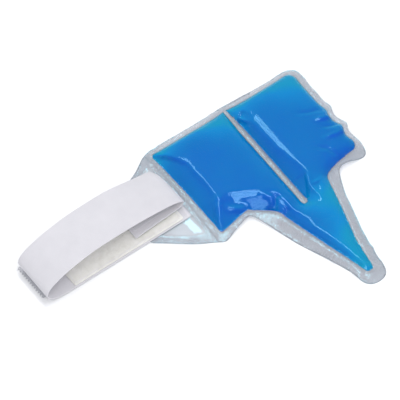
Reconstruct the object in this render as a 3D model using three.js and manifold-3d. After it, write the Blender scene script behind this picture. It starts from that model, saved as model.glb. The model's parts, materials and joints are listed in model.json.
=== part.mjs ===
// A gel hot and cold wrap: a T-shaped pouch of two clear welded films filled with gel, with a flat tab at one
// side, and a woven elastic strap that is sewn on the tab and closed in a loop by hook-and-loop tape.
//
// Millimetres, +Z up. The wrap lies on its back film. Plan places are given as (right, down), from the gel's
// upper left corner, with the pouch's tail pointing down the page, which is -Y. The origin of the finished
// part is at the middle of its footprint, on the surface that it lies on.

import * as THREE from "three";
import { mergeVertices } from "three/addons/utils/BufferGeometryUtils.js";
import Module from "manifold-3d";

const wasm = await Module();
wasm.setup();

// Driving dimensions.
const GAP = 0.3; // left between touching pieces
const FILM = 0.5; // thickness of each film
const GEL_WIDTH = 173;
const WELD_MIDDLE = 92.5; // the middle line of the centre weld
const LOBE_LENGTH = 116; // from the top edge to the notches beside the tail
const TAIL_TIP = 240; // how far down the gel reaches
const BULGE = 15; // height of the filled chamber's inside
const SHOULDER = 20; // how far from a seam the bulge reaches its full height
const SEAM_CLEAR = 1.2; // from the gel's edge to the seam
const WELD_WIDTH = 5;
const WELD_END = 137;
const TAB_ROOT = -4; // the line where the tab bends off the pouch
const TAB_END = -60;
const FOLD_UP = 60; // degrees that the right half folds up
const SWING_UP = 45; // degrees that the tab swings up
const STRAP_WIDTH = 50;
const STRAP_THICK = 1.2;
const STRAP_NEAR_EDGE = 82; // the lower run's near edge
const UPPER_NEAR_EDGE = 80; // the upper run's near edge at the loop's left end
const STRAP_CUT_END = -6.6; // where the lower run ends on the tab
const LEFT_FOLD = { right: -186.5, up: 14 }; // the middle of the strap at the loop's left end
const RIGHT_BEND = { right: -9, up: 13 }; // and at its right end
const LOOP_TOP = 38;
const SKEW = -0.057; // the upper run's drift along its width, for each unit to the right
const FREE_END = -70; // where the strap's free end stops, inside the loop
const TAPE_WIDTH = 44;
const TAPE_THICK = 1.2;
const PINK = 2; // length of one tooth of a tape end cut with pinking shears
const THREAD = 0.5;
const CELL = 5.5; // size of the facets of the filled pouch

// Worked out from those.
const RIM_TOP = 2 * FILM + GAP; // top of the welded rim and of the tab
const CHAMBER_FLOOR = FILM + GAP;
const STRAP_FLOOR = RIM_TOP + GAP;
const STRAP_TOP = STRAP_FLOOR + STRAP_THICK;
const LOOP_PATCH_FLOOR = STRAP_TOP + GAP;
const HOOK_PATCH_FLOOR = LOOP_PATCH_FLOOR + TAPE_THICK + THREAD + 2 * GAP;
const FLAP_FLOOR = HOOK_PATCH_FLOOR + TAPE_THICK + GAP;
const CEILING = 60; // above everything, for the cutting prisms

// Shapes in plan.

const plan = (right, down) => new THREE.Vector2(right, -down);

// A closed outline through corners, each [right, down] or [right, down, how far from it the curve starts].
function outline(corners) {
  const places = corners.map(([right, down, round = 0]) => ({ at: plan(right, down), round }));
  const shape = new THREE.Shape();
  places.forEach((corner, i) => {
    const before = places.at(i - 1).at;
    const after = places[(i + 1) % places.length].at;
    const start = corner.at.clone().add(before.clone().sub(corner.at).setLength(corner.round));
    if (i === 0) shape.moveTo(start.x, start.y);
    else shape.lineTo(start.x, start.y);
    if (corner.round > 0) {
      const end = corner.at.clone().add(after.clone().sub(corner.at).setLength(corner.round));
      shape.quadraticCurveTo(corner.at.x, corner.at.y, end.x, end.y);
    }
  });
  return shape;
}

const GEL_OUTLINE = outline([
  [0, 0, 6],
  [GEL_WIDTH, 0, 12],
  [GEL_WIDTH - 1, LOBE_LENGTH - 3, 9],
  [148, LOBE_LENGTH + 3],
  [130, 126, 8],
  [108, 204],
  [102, TAIL_TIP, 4],
  [93, TAIL_TIP, 4],
  [79, 194],
  [62, 131, 8],
  [40, LOBE_LENGTH - 3],
  [3, LOBE_LENGTH + 2, 5],
]);

const POUCH_OUTLINE = outline([
  [TAB_ROOT, -1],
  [10, -6, 6],
  [GEL_WIDTH + 8, -5, 17],
  [GEL_WIDTH + 3, LOBE_LENGTH + 11, 12],
  [144, LOBE_LENGTH + 5, 7],
  [132, 154],
  [115, 229],
  [111, TAIL_TIP + 14, 11],
  [87, TAIL_TIP + 14, 11],
  [81, 230],
  [57, 170],
  [46, 136],
  [39, LOBE_LENGTH + 2, 5],
  [3, LOBE_LENGTH + 11, 3],
  [TAB_ROOT, 122],
]);

const TAB_OUTLINE = outline([
  [TAB_ROOT, -1],
  [TAB_ROOT, 122],
  [-27, 107],
  [TAB_END, 81, 5],
  [TAB_END, 23, 5],
  [-16, 3],
]);

const WELD_OUTLINE = outline([
  [WELD_MIDDLE - WELD_WIDTH / 2 - SEAM_CLEAR, -10],
  [WELD_MIDDLE + WELD_WIDTH / 2 + SEAM_CLEAR, -10],
  [WELD_MIDDLE + WELD_WIDTH / 2 + SEAM_CLEAR, WELD_END, 3],
  [WELD_MIDDLE - WELD_WIDTH / 2 - SEAM_CLEAR, WELD_END, 3],
]);

// How far a plan place is inside the gel's outline, or minus how far it is outside it.
const gelEdge = GEL_OUTLINE.getPoints(6);
function depthInGel(right, down) {
  const at = plan(right, down);
  let nearest = Infinity;
  let inside = false;
  gelEdge.forEach((a, i) => {
    const b = gelEdge[(i + 1) % gelEdge.length];
    const side = b.clone().sub(a);
    const along = THREE.MathUtils.clamp(at.clone().sub(a).dot(side) / side.lengthSq(), 0, 1);
    nearest = Math.min(nearest, at.distanceTo(a.clone().addScaledVector(side, along)));
    const crosses = a.y > at.y !== b.y > at.y;
    if (crosses && at.x < a.x + ((at.y - a.y) / (b.y - a.y)) * side.x) inside = !inside;
  });
  return inside ? nearest : -nearest;
}

// Height of the filled chamber above its floor: a rounded shoulder from every seam up to a flat top.
function bulge(right, down) {
  const past = Math.max(0, down - WELD_END + WELD_WIDTH / 2);
  const fromWeld = Math.hypot(right - WELD_MIDDLE, past) - WELD_WIDTH / 2;
  const inward = Math.min(depthInGel(right, down) + SEAM_CLEAR, fromWeld);
  const share = THREE.MathUtils.clamp(inward / SHOULDER, 0, 1);
  return BULGE * Math.sqrt(1 - (1 - share) ** 2);
}

// Solids.

function solidOf(geometry) {
  const bare = geometry.clone();
  bare.deleteAttribute("normal");
  bare.deleteAttribute("uv");
  const merged = mergeVertices(bare, 1e-4);
  return new wasm.Manifold(
    new wasm.Mesh({
      numProp: 3,
      vertProperties: merged.attributes.position.array,
      triVerts: new Uint32Array(merged.index.array),
    }),
  );
}

function geometryOf(solid) {
  const mesh = solid.getMesh();
  const geometry = new THREE.BufferGeometry();
  geometry.setAttribute("position", new THREE.BufferAttribute(mesh.vertProperties, 3));
  geometry.setIndex(new THREE.BufferAttribute(mesh.triVerts, 1));
  geometry.computeVertexNormals();
  return geometry;
}

// A plan shape raised from one height to another.
function plate(shape, low, high) {
  const extent = { depth: high - low, bevelEnabled: false, curveSegments: 6 };
  const geometry = new THREE.ExtrudeGeometry(shape, extent);
  return geometry.translate(0, 0, low);
}

// A side-view shape (right, up) drawn out along the width, from the down value near to the down value far.
function drawnOut(shape, near, far) {
  const geometry = new THREE.ExtrudeGeometry(shape, { depth: near - far, bevelEnabled: false });
  return geometry.rotateX(Math.PI / 2).translate(0, -far, 0);
}

// A blanket over the whole pouch, between two heights that are functions of (right, down).
function blanket(lowAt, highAt) {
  const across = Math.ceil((GEL_WIDTH + 30) / CELL);
  const along = Math.ceil((TAIL_TIP + 32) / CELL);
  const rows = along + 1;
  const positions = [];
  for (let i = 0; i <= across; i++) {
    for (let j = 0; j <= along; j++) {
      const right = i * CELL - 12;
      const down = j * CELL - 12;
      positions.push(right, -down, lowAt(right, down), right, -down, highAt(right, down));
    }
  }
  const low = (i, j) => 2 * (i * rows + j);
  const high = (i, j) => low(i, j) + 1;
  const index = [];
  const quad = (a, b, c, d) => index.push(a, b, c, a, c, d);
  for (let i = 0; i < across; i++) {
    for (let j = 0; j < along; j++) {
      quad(low(i, j), low(i + 1, j), low(i + 1, j + 1), low(i, j + 1));
      quad(high(i, j), high(i, j + 1), high(i + 1, j + 1), high(i + 1, j));
    }
    quad(low(i, 0), high(i, 0), high(i + 1, 0), low(i + 1, 0));
    quad(low(i, along), low(i + 1, along), high(i + 1, along), high(i, along));
  }
  for (let j = 0; j < along; j++) {
    quad(low(0, j), low(0, j + 1), high(0, j + 1), high(0, j));
    quad(low(across, j), high(across, j), high(across, j + 1), low(across, j + 1));
  }
  const geometry = new THREE.BufferGeometry();
  geometry.setAttribute("position", new THREE.Float32BufferAttribute(positions, 3));
  geometry.setIndex(index);
  return geometry;
}

// The space of one rigid half: between two hinge lines on the floor, with sides that lean back from each line
// so that the neighbours can fold up. Each side is [place of the line, degrees that it leans].
function halfSpace([leftLine, leftLean], [rightLine, rightLean]) {
  const leaning = (degrees) => CEILING * Math.tan(THREE.MathUtils.degToRad(degrees));
  const left = leftLine + GAP / 2;
  const right = rightLine - GAP / 2;
  const side = new THREE.Shape([
    new THREE.Vector2(left, -1),
    new THREE.Vector2(right, -1),
    new THREE.Vector2(right, 0),
    new THREE.Vector2(right - leaning(rightLean), CEILING),
    new THREE.Vector2(left + leaning(leftLean), CEILING),
    new THREE.Vector2(left, 0),
  ]);
  return solidOf(drawnOut(side, TAIL_TIP + 30, -20));
}

const OUTER = GEL_WIDTH + 60; // past the pouch, where nothing folds
const LEFT_SPACE = halfSpace([TAB_ROOT, SWING_UP / 2], [WELD_MIDDLE, FOLD_UP / 2]);
const RIGHT_SPACE = halfSpace([WELD_MIDDLE, FOLD_UP / 2], [OUTER, 0]);
const TAB_SPACE = halfSpace([-OUTER, 0], [TAB_ROOT, SWING_UP / 2]);

const innerHeight = (right, down) => CHAMBER_FLOOR + bulge(right, down);

function frontFilm() {
  const sheet = solidOf(blanket(innerHeight, (right, down) => innerHeight(right, down) + FILM));
  return sheet.intersect(solidOf(plate(POUCH_OUTLINE, -1, CEILING)));
}

function backFilm() {
  return solidOf(plate(POUCH_OUTLINE, 0, FILM));
}

function gel() {
  const top = (right, down) => Math.max(innerHeight(right, down) - GAP, CHAMBER_FLOOR + 0.05);
  const filled = solidOf(blanket(() => CHAMBER_FLOOR, top));
  const kept = filled.intersect(solidOf(plate(GEL_OUTLINE, -1, CEILING)));
  return kept.subtract(solidOf(plate(WELD_OUTLINE, -1, CEILING)));
}

function tabFilm(low) {
  return solidOf(plate(TAB_OUTLINE, low, low + FILM)).intersect(TAB_SPACE);
}

// The strap, as three stretches of one band seen from the side.

// The outline of a band of the strap's thickness along a smooth line through (right, up) points.
function band(points, steps) {
  const line = new THREE.SplineCurve(points.map(([right, up]) => new THREE.Vector2(right, up)));
  const above = [];
  const below = [];
  for (let i = 0; i <= steps; i++) {
    const at = line.getPointAt(i / steps);
    const along = line.getTangentAt(i / steps);
    const across = new THREE.Vector2(-along.y, along.x).multiplyScalar(STRAP_THICK / 2);
    above.push(at.clone().add(across));
    below.unshift(at.clone().sub(across));
  }
  return new THREE.Shape([...above, ...below]);
}

// Turns a straight band into one that drifts along its width as it goes to the right of the left fold.
function skewed(geometry) {
  const skew = new THREE.Matrix4().makeShear(-SKEW, 0, 0, 0, 0, 0);
  geometry.translate(-LEFT_FOLD.right, 0, 0).applyMatrix4(skew);
  return geometry.translate(LEFT_FOLD.right, 0, 0);
}

const STRAP_MIDDLE = (STRAP_FLOOR + STRAP_TOP) / 2;
const FLAP_MIDDLE = FLAP_FLOOR + STRAP_THICK / 2;

function strapLower() {
  const side = band(
    [
      [STRAP_CUT_END, STRAP_MIDDLE],
      [-60, STRAP_MIDDLE],
      [-110, STRAP_MIDDLE],
      [-150, STRAP_MIDDLE],
      [-166, STRAP_MIDDLE + 1],
      [-179, STRAP_MIDDLE + 4.5],
      [LEFT_FOLD.right, LEFT_FOLD.up - 3],
      [LEFT_FOLD.right, LEFT_FOLD.up - GAP / 2],
    ],
    44,
  );
  return drawnOut(side, STRAP_NEAR_EDGE, STRAP_NEAR_EDGE - STRAP_WIDTH);
}

function strapUpper() {
  const side = band(
    [
      [LEFT_FOLD.right, LEFT_FOLD.up + GAP / 2],
      [LEFT_FOLD.right, LEFT_FOLD.up + 2],
      [-176, 25],
      [-160, 32],
      [-141, 36.5],
      [-115, LOOP_TOP],
      [-71, 33],
      [-29, 24],
      [-15, 19],
      [RIGHT_BEND.right, RIGHT_BEND.up + 1.5],
      [RIGHT_BEND.right, RIGHT_BEND.up + GAP / 2],
    ],
    48,
  );
  return skewed(drawnOut(side, UPPER_NEAR_EDGE, UPPER_NEAR_EDGE - STRAP_WIDTH));
}

function strapEnd() {
  const side = band(
    [
      [RIGHT_BEND.right, RIGHT_BEND.up - GAP / 2],
      [RIGHT_BEND.right, RIGHT_BEND.up - 1.2],
      [-13, FLAP_MIDDLE + 0.7],
      [-19, FLAP_MIDDLE],
      [-45, FLAP_MIDDLE],
      [FREE_END, FLAP_MIDDLE],
    ],
    24,
  );
  return skewed(drawnOut(side, UPPER_NEAR_EDGE, UPPER_NEAR_EDGE - STRAP_WIDTH));
}

// Tapes and stitching.

const LOWER_RUN_MIDDLE = STRAP_NEAR_EDGE - STRAP_WIDTH / 2;
const UPPER_RUN_MIDDLE = UPPER_NEAR_EDGE - STRAP_WIDTH / 2;
const PATCH_WIDTH = TAPE_WIDTH - 4;
const LOOP_PATCH = { left: -150, right: -16, width: PATCH_WIDTH, middle: LOWER_RUN_MIDDLE };
const HOOK_PATCH = { left: FREE_END + 2, right: -20, width: PATCH_WIDTH, middle: UPPER_RUN_MIDDLE };

function rectangle({ left, right, width, middle }, inset, round) {
  const far = middle - width / 2 + inset;
  const near = middle + width / 2 - inset;
  return outline([
    [left + inset, near, round],
    [right - inset, near, round],
    [right - inset, far, round],
    [left + inset, far, round],
  ]);
}

function loopPatch() {
  return plate(rectangle(LOOP_PATCH, 0, 1.5), LOOP_PATCH_FLOOR, LOOP_PATCH_FLOOR + TAPE_THICK);
}

function hookPatch() {
  return skewed(plate(rectangle(HOOK_PATCH, 0, 1.5), HOOK_PATCH_FLOOR, HOOK_PATCH_FLOOR + TAPE_THICK));
}

// A tape under the strap, on the floor, whose left end was cut with pinking shears.
function hookStrip() {
  const left = LEFT_FOLD.right + 2.5;
  const right = HOOK_PATCH.left + 6;
  const far = LOWER_RUN_MIDDLE - 29;
  const near = far + TAPE_WIDTH;
  const corners = [[right, far]];
  for (let down = far; down < near; down += PINK) {
    corners.push([left + PINK, down], [left, down + PINK / 2]);
  }
  corners.push([left + PINK, near], [right, near]);
  return plate(outline(corners), 0, TAPE_THICK);
}

// A closed row of thread on a tape or strap.
function threadFrame(patch, inset, floor) {
  const row = rectangle(patch, inset, 1);
  row.holes.push(rectangle(patch, inset + 1, 0.5));
  return plate(row, floor, floor + THREAD);
}

// The rows that sew the strap on the tab: along both edges and across the cut end, beside the loop patch.
function tabStitching() {
  const near = STRAP_NEAR_EDGE - 2;
  const far = STRAP_NEAR_EDGE - STRAP_WIDTH + 2;
  const end = STRAP_CUT_END - 3;
  const start = TAB_END + 6;
  const rows = outline([
    [start, far],
    [end, far],
    [end, near],
    [start, near],
    [start, near - 1],
    [end - 1, near - 1],
    [end - 1, far + 1],
    [start, far + 1],
  ]);
  return plate(rows, STRAP_TOP + GAP, STRAP_TOP + GAP + THREAD);
}

// Materials and the assembly.

const film = { color: 0xd9dce6, roughness: 0.12, metalness: 0, transparent: true, opacity: 0.35 };
const blueGel = { color: 0x1276be, roughness: 0.2, metalness: 0, transparent: true, opacity: 0.85 };
const elastic = { color: 0xe4e2e9, roughness: 0.85, metalness: 0 };
const pile = { color: 0xdad9d5, roughness: 1, metalness: 0 };
const hooks = { color: 0xc2c3c6, roughness: 0.6, metalness: 0 };
const thread = { color: 0xf1f0f2, roughness: 0.7, metalness: 0 };

function piece(name, geometry, finish) {
  const mesh = new THREE.Mesh(geometry, new THREE.MeshStandardMaterial(finish));
  mesh.name = name;
  return mesh;
}

// One soft layer of the pouch, cut at the centre weld into its two halves.
function halves(name, layer, finish) {
  return [
    piece(name + "_left", geometryOf(layer.intersect(LEFT_SPACE)), finish),
    piece(name + "_right", geometryOf(layer.intersect(RIGHT_SPACE)), finish),
  ];
}

const wrap = new THREE.Group();
wrap.add(
  ...halves("front_film", frontFilm(), film),
  ...halves("back_film", backFilm(), film),
  ...halves("gel", gel(), blueGel),
  piece("front_film_tab", geometryOf(tabFilm(CHAMBER_FLOOR)), film),
  piece("back_film_tab", geometryOf(tabFilm(0)), film),
  piece("strap_lower", strapLower(), elastic),
  piece("strap_upper", strapUpper(), elastic),
  piece("strap_end", strapEnd(), elastic),
  piece("loop_patch", loopPatch(), pile),
  piece("hook_patch", hookPatch(), hooks),
  piece("hook_strip", hookStrip(), hooks),
  piece("tab_stitching", tabStitching(), thread),
  piece("loop_patch_stitching", threadFrame(LOOP_PATCH, 2, LOOP_PATCH_FLOOR + TAPE_THICK + GAP), thread),
  piece("hook_patch_stitching", skewed(threadFrame(HOOK_PATCH, 2, FLAP_FLOOR + STRAP_THICK + GAP)), thread),
);

// Moves the origin to the middle of the footprint.
const footprint = new THREE.Box3().setFromObject(wrap).getCenter(new THREE.Vector3());
wrap.position.set(-footprint.x, -footprint.y, 0);

export default wrap;
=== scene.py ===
"""A gel hot and cold wrap with an elastic strap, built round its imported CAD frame.

Plan places are (right, down) in millimetres from the gel's upper left corner, as in the CAD model: right
is +X and down is -Y. Heights are millimetres above the surface that the wrap lies on. to_frame() and
place() turn them into the frame's metres.
"""

import json
import math
import random

import bpy
import numpy as np
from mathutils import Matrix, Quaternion, Vector
from mathutils.geometry import delaunay_2d_cdt


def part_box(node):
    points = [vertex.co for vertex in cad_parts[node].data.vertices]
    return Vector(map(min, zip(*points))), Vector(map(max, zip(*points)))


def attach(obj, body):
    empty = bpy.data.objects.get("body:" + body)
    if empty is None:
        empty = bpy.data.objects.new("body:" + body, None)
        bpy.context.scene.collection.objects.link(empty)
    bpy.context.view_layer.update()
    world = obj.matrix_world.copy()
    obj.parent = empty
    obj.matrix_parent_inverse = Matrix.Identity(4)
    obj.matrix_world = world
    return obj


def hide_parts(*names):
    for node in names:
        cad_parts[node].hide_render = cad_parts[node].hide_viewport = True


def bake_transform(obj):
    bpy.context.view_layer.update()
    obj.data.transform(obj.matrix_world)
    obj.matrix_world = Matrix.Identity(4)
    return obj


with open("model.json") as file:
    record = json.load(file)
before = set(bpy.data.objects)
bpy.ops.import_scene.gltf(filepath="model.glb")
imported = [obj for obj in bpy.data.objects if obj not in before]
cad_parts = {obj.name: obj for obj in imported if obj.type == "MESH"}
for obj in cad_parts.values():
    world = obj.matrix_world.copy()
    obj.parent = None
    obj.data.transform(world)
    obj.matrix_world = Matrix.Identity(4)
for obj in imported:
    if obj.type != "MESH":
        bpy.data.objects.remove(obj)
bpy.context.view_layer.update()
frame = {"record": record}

MM = 0.001
JOINTS = {joint["name"]: joint for joint in frame["record"]["behaviour"]["joints"]}

# ---- sizes, in millimetres

FILM = 0.4  # thickness of each film
WELD_MIDDLE = 92.5  # the centre weld, to the right of the gel's left edge
WELD_WIDTH = 5.0
WELD_END = 137.0
TAB_ROOT = -4.0  # the line where the tab bends off the pouch
TAB_END = -60.0
TAB_SEWN = -16.0  # left of this the strap holds the tab flat
GEL_WIDTH = 173.0
LOBE_LENGTH = 116.0
TAIL_TIP = 240.0
GEL_VOLUME = 262.0  # millilitres
TAB_HEIGHT = 0.65  # middle of the tab's two films, under the strap
STRAP_WIDTH = 50.0
STRAP_THICK = 1.2
TAPE_GAP = 0.3  # room for thread between the strap and a tape
STRAP_NEAR_EDGE = 82.0  # the lower run's edge nearest the tail
UPPER_NEAR_EDGE = 80.0  # the upper run's, at the left fold
SKEW = -0.057  # the upper run's drift towards its far side, for each unit to the right
CELL = 2.9  # size of the film's triangles before subdivision

# The joints give the plan's origin in the shared frame.
ORIGIN_X = JOINTS["pack_fold"]["pos_m"][0] / MM - WELD_MIDDLE
ORIGIN_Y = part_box("gel_left")[1][1] / MM


def place(right, down, up):
    """A plan place and a height in millimetres, as a point of the shared frame in metres."""
    return Vector(((ORIGIN_X + right) * MM, (ORIGIN_Y - down) * MM, up * MM))


def to_frame(points):
    """Rows of (right, -down, up) in millimetres, as rows of metres in the shared frame."""
    return (np.asarray(points) + (ORIGIN_X, ORIGIN_Y, 0.0)) * MM


def joint_place(name):
    """How far right and how high a joint's axis is, in millimetres."""
    right, _, up = JOINTS[name]["pos_m"]
    return right / MM - ORIGIN_X, up / MM


def height_of(node, top):
    """The top or underside of a CAD node, in millimetres."""
    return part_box(node)[1 if top else 0][2] / MM


# ---- node materials


class Nodes:
    """Short calls to build one material's node tree."""

    def __init__(self, name):
        self.material = bpy.data.materials.new(name)
        self.material.use_nodes = True
        self.tree = self.material.node_tree
        self.tree.nodes.clear()
        self.output = self.add("ShaderNodeOutputMaterial")

    def add(self, kind, settings=None, **inputs):
        node = self.tree.nodes.new(kind)
        for key, value in (settings or {}).items():
            setattr(node, key, value)
        for key, value in inputs.items():
            self.feed(node, key.replace("_", " "), value)
        return node

    def feed(self, node, key, value):
        socket = node.inputs[int(key[1:])] if key[0] == "i" and key[1:].isdigit() else node.inputs[key]
        if isinstance(value, bpy.types.NodeSocket):
            self.tree.links.new(value, socket)
        else:
            socket.default_value = value

    def attribute(self, name):
        return self.add("ShaderNodeAttribute", {"attribute_name": name}).outputs["Fac"]

    def noise(self, scale, detail=3.0, vector=None, roughness=0.5):
        node = self.add("ShaderNodeTexNoise", Scale=scale, Detail=detail, Roughness=roughness)
        self.feed(node, "Vector", vector or self.position())
        return node.outputs["Fac"]

    def position(self):
        return self.add("ShaderNodeTexCoord").outputs["Object"]

    def weave_space(self):
        return self.add("ShaderNodeUVMap", {"uv_map": "cloth"}).outputs["UV"]

    def ramp(self, factor, stops):
        node = self.add("ShaderNodeValToRGB", Fac=factor)
        elements = node.color_ramp.elements
        while len(elements) < len(stops):
            elements.new(0.5)
        for element, (at, colour) in zip(elements, stops):
            element.position = at
            element.color = (*colour, 1.0)
        return node.outputs["Color"]

    def span(self, value, low, high, to_low, to_high):
        node = self.add("ShaderNodeMapRange", Value=value)
        limits = {"From Min": low, "From Max": high, "To Min": to_low, "To Max": to_high}
        for key, number in limits.items():
            node.inputs[key].default_value = number
        return node.outputs["Result"]

    def math(self, operation, a, b=0.0):
        return self.add("ShaderNodeMath", {"operation": operation}, i0=a, i1=b).outputs[0]

    def mix(self, factor, a, b):
        node = self.add("ShaderNodeMix", {"data_type": "RGBA"})
        self.feed(node, "i0", factor)
        self.feed(node, "i6", a)
        self.feed(node, "i7", b)
        return node.outputs[2]

    def bump(self, height, distance, strength=1.0, normal=None):
        node = self.add("ShaderNodeBump", Height=height, Distance=distance, Strength=strength)
        if normal:
            self.feed(node, "Normal", normal)
        return node.outputs["Normal"]

    def principled(self, colour, normal=None, **settings):
        """A finished material of one principled shader. A setting's underscores stand for spaces."""
        shader = self.add("ShaderNodeBsdfPrincipled", Base_Color=colour, **settings)
        if normal:
            self.feed(shader, "Normal", normal)
        return self.finish(shader.outputs[0])

    def finish(self, surface):
        self.tree.links.new(surface, self.output.inputs["Surface"])
        return self.material


def linear(red, green, blue):
    """An sRGB colour of 0 to 255 as the linear values that shaders take."""
    shares = [value / 255 for value in (red, green, blue)]
    return tuple(((c + 0.055) / 1.055) ** 2.4 if c > 0.04 else c / 12.92 for c in shares)


def film_material():
    """Clear soft vinyl: light goes straight through, its outer face mirrors, and its welds are milky."""
    n = Nodes("clear_vinyl")
    weld = n.attribute("weld")
    edge = n.attribute("edge")
    normal = n.bump(n.noise(60.0, 2.0), 0.0006, 0.25)
    normal = n.bump(n.math("MULTIPLY", n.noise(260.0, 3.0), weld), 0.0012, 0.5, normal)
    clear = n.add("ShaderNodeBsdfTransparent", Color=(0.985, 0.985, 0.99, 1.0))
    cloud = n.span(n.noise(45.0, 4.0), 0.3, 0.7, 0.8, 1.2)
    milk = n.add("ShaderNodeBsdfPrincipled", Roughness=0.35, IOR=1.5)
    # The welds' milkiness is the film's own, but the milk's grey stands for shade under and inside the film:
    # painted shade.
    shade = n.mix(cloud, (*linear(158, 156, 165), 1.0), (*linear(186, 185, 192), 1.0))
    # Along the film's outer edge the milk is painted dark and thicker: a painted dark outline standing for
    # shade at the cut edge.
    n.feed(milk, "Base Color", n.mix(n.math("MULTIPLY", edge, 0.8), shade, (*linear(122, 121, 130), 1.0)))
    n.feed(milk, "Normal", normal)
    haze = n.math("MULTIPLY", n.span(weld, 0.0, 1.0, 0.003, 0.36), cloud)
    # Along the seam round the gel more pale milk is added: a painted highlight line at the gel's border. The
    # edge's extra milk belongs to the painted dark outline.
    for share, amount in ((edge, 0.25), (n.attribute("seam"), 0.22)):
        haze = n.math("ADD", haze, n.math("MULTIPLY", share, amount))
    body = n.add("ShaderNodeMixShader", i0=haze, i1=clear.outputs[0], i2=milk.outputs[0])
    gloss = n.add("ShaderNodeBsdfAnisotropic", Color=(0.36, 0.86, 1.0, 1.0), Roughness=0.08)
    n.feed(gloss, "Normal", normal)
    mirror = n.add("ShaderNodeFresnel", IOR=1.5)
    n.feed(mirror, "Normal", normal)
    skin = n.add("ShaderNodeMixShader", i0=mirror.outputs[0], i1=body.outputs[0], i2=gloss.outputs[0])
    inside = n.add("ShaderNodeNewGeometry").outputs["Backfacing"]
    both = n.add("ShaderNodeMixShader", i0=inside, i1=skin.outputs[0], i2=clear.outputs[0])
    return n.finish(both.outputs[0])


def gel_material():
    """Clear blue gel: deep blue where it is thick, turquoise where light comes through its thin edge, and
    painted lighter on the sides that face LIT_SIDE, which is painted light.
    """
    n = Nodes("blue_gel")
    # This attribute mixes the gel's thickness with painted light: sides that face LIT_SIDE are painted
    # lighter turquoise.
    depth_and_painted_light = n.attribute("depth_and_painted_light")
    stir = n.noise(35.0, 3.0)
    level = n.math("ADD", depth_and_painted_light, n.span(stir, 0.3, 0.7, -0.05, 0.05))
    colour = n.ramp(
        level,
        (
            (0.05, linear(6, 148, 190)),
            (0.3, linear(0, 136, 200)),
            (0.65, linear(0, 113, 188)),
            (1.0, linear(0, 91, 192)),
        ),
    )
    return n.principled(
        colour,
        n.bump(n.noise(120.0, 2.0), 0.0004, 0.3),
        Roughness=0.4,
        IOR=1.36,
        Specular_IOR_Level=0.05,
        Subsurface_Weight=0.35,
        Subsurface_Radius=(0.001, 0.004, 0.009),
        Subsurface_Scale=1.0,
    )


def elastic_material():
    """White woven elastic: fine cords along it, crossed by a rib of weft, with a soft sheen."""
    n = Nodes("white_elastic")
    across, along, _ = n.add("ShaderNodeSeparateXYZ", Vector=n.weave_space()).outputs
    cords = n.math("ABSOLUTE", n.math("SINE", n.math("MULTIPLY", across, math.pi / 1.1)))
    weft = n.math("ABSOLUTE", n.math("SINE", n.math("MULTIPLY", along, math.pi / 0.8)))
    weave = n.math("MULTIPLY", n.math("ADD", cords, 0.35), n.math("ADD", weft, 0.6))
    fuzz = n.noise(2600.0, 2.0)
    normal = n.bump(weave, 0.00022, 0.55)
    normal = n.bump(fuzz, 0.0001, 0.5, normal)
    shade = n.math("ADD", n.math("MULTIPLY", weave, 0.35), n.math("MULTIPLY", n.noise(70.0, 4.0), 0.5))
    shades = ((0.1, linear(197, 196, 201)), (0.6, linear(213, 211, 215)), (1.0, linear(221, 219, 223)))
    return n.principled(
        n.ramp(shade, shades), normal, Roughness=0.82, Sheen_Weight=0.25, Sheen_Roughness=0.5
    )


def pile_material():
    """Brushed loop pile, slightly creamier than the elastic, with matted patches."""
    n = Nodes("loop_pile")
    tufts = n.noise(1500.0, 4.0)
    mats = n.noise(130.0, 3.0)
    colour = n.ramp(mats, ((0.3, linear(228, 226, 218)), (0.7, linear(242, 240, 235))))
    tips = n.mix(n.span(tufts, 0.3, 0.7, 0.0, 0.4), colour, (*linear(245, 243, 238), 1.0))
    return n.principled(tips, n.bump(tufts, 0.0005, 0.9), Roughness=0.95, Sheen_Weight=0.4)


def hook_material():
    """Pale grey nylon tape, a little glossy, with a woven ground."""
    n = Nodes("hook_nylon")
    ground = n.noise(900.0, 2.0)
    colour = n.ramp(ground, ((0.25, linear(176, 177, 182)), (0.75, linear(212, 213, 217))))
    return n.principled(colour, n.bump(ground, 0.0002, 0.6), Roughness=0.42)


def thread_material():
    """Twisted polyester thread."""
    n = Nodes("white_thread")
    twist = n.noise(1800.0, 2.0)
    colour = n.ramp(twist, ((0.3, linear(222, 221, 226)), (0.7, linear(244, 243, 246))))
    return n.principled(colour, n.bump(twist, 0.0001, 0.7), Roughness=0.6, Sheen_Weight=0.2)


def floor_material():
    """A matt, almost white studio floor."""
    n = Nodes("studio_floor")
    colour = n.ramp(n.noise(6.0, 2.0), ((0.3, (0.965, 0.965, 0.965)), (0.7, (0.98, 0.98, 0.98))))
    return n.principled(colour, Roughness=0.9)


# ---- meshes


def add_object(name, data):
    """An object in the scene."""
    thing = bpy.data.objects.new(name, data)
    bpy.context.scene.collection.objects.link(thing)
    return thing


def add_mesh(name, points, faces, material, smooth=True):
    """A mesh object from rows of metres and lists of corners."""
    mesh = bpy.data.meshes.new(name)
    mesh.from_pydata([tuple(p) for p in points], [], [tuple(int(i) for i in f) for f in faces])
    mesh.polygons.foreach_set("use_smooth", [smooth] * len(mesh.polygons))
    mesh.materials.append(material)
    mesh.update()
    return add_object(name, mesh)


def added_up(index, rows, count):
    """The sums of the rows that share an index."""
    return np.column_stack([np.bincount(index, column, count) for column in rows.T])


def open_sides(faces):
    """The sides that only one face has, each as a pair of corners in that face's direction."""
    sides = {(f[k], f[(k + 1) % len(f)]) for f in faces for k in range(len(f))}
    return sorted((a, b) for a, b in sides if (b, a) not in sides)


def put_attribute(thing, name, values):
    layer = thing.data.attributes.new(name, "FLOAT", "POINT")
    layer.data.foreach_set("value", np.asarray(values, np.float32))


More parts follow.
